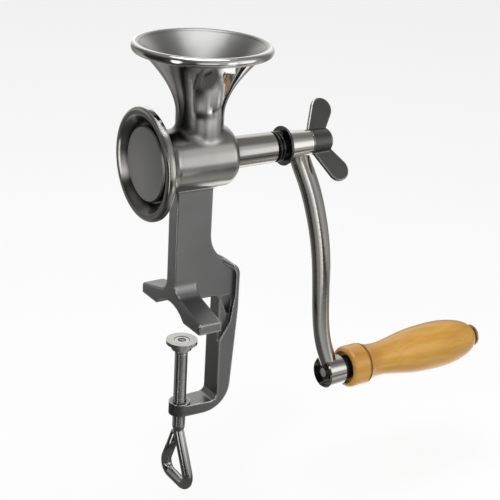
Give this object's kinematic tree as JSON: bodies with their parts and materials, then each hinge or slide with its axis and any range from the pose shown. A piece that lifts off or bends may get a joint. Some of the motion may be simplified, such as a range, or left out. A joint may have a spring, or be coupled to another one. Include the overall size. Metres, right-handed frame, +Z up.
{
  "type": "hand crank grinder",
  "caption": "Table-clamp hand grinder with trumpet hopper, feed worm, grinding burrs, spring and wing nut adjustment, S-shaped crank and wooden grip.",
  "frame": {"origin": "on the plane of the feet's soles (the table top), straight below the hopper's axis", "axes": "+X along the crank shaft from the grinding disc to the crank, +Z up through the hopper"},
  "size_m": [0.2757, 0.08, 0.2798],
  "materials": {
    "polished_steel": "mirror polished stainless steel casting",
    "cast_steel": "satin blasted stainless steel casting",
    "bush_bronze": "plain bearing bronze",
    "burr_steel": "machined teeth",
    "disc_steel": "fine turned face",
    "turned_steel": "turned",
    "spring_steel": "oil-blackened spring wire",
    "dark_steel": "blackened steel",
    "crank_steel": "mirror polished",
    "bright_steel": "bright polished",
    "grip_wood": "clear varnished beech",
    "wing_steel": "satin blasted",
    "screw_steel": "polished bent rod"
  },
  "bodies": {
    "mill": {"mill_body": "polished_steel", "clamp_frame": "cast_steel", "sleeve_bush": "bush_bronze", "fixed_burr": "burr_steel", "burr_screws": "turned_steel"},
    "rotor": {"grinding_disc": "disc_steel", "worm_shaft": "turned_steel", "drive_pin": "turned_steel", "pressure_spring": "spring_steel"},
    "crank": {"crank_arm": "crank_steel", "thrust_washer": "dark_steel", "lock_nut": "dark_steel", "grip_bolt": "bright_steel", "grip_spacer": "dark_steel", "head_washer": "bright_steel"},
    "wing_nut": {"wing_nut": "wing_steel"},
    "grip": {"wooden_grip": "grip_wood"},
    "clamp_pad": {"clamp_pad": "screw_steel"},
    "clamp_screw": {"clamp_screw": "screw_steel", "pad_rivet": "turned_steel"}
  },
  "joints": [
    {"name": "crank_spin", "type": "hinge", "parent": "mill", "child": "rotor", "pos_m": [0, 0, 0.0945], "axis": [1, 0, 0], "continuous": true},
    {"name": "hub_slide", "type": "slide", "parent": "rotor", "child": "crank", "axis": [1, 0, 0], "range_m": [-0.00063, 0.00187], "deforming": ["pressure_spring"]},
    {"name": "wing_nut_turn", "type": "hinge", "parent": "crank", "child": "wing_nut", "pos_m": [0.085, 0, 0.0945], "axis": [1, 0, 0], "range_deg": [-190, 550]},
    {"name": "grip_spin", "type": "hinge", "parent": "crank", "child": "grip", "pos_m": [0.17, 0, -0.0668], "axis": [1, 0, 0], "continuous": true},
    {"name": "clamp_travel", "type": "slide", "parent": "mill", "child": "clamp_pad", "axis": [0, 0, 1], "range_m": [-0.03125, 0.00625]},
    {"name": "clamp_screw_turn", "type": "hinge", "parent": "clamp_pad", "child": "clamp_screw", "pos_m": [-0.006, 0, -0.05], "axis": [0, 0, 1], "range_deg": [-9060, 1860]}
  ],
  "couplings": [
    {"joint": "wing_nut_turn", "follows": "hub_slide", "rad_per_m": 5026.5},
    {"joint": "clamp_screw_turn", "follows": "clamp_travel", "rad_per_m": 5026.5}
  ]
}
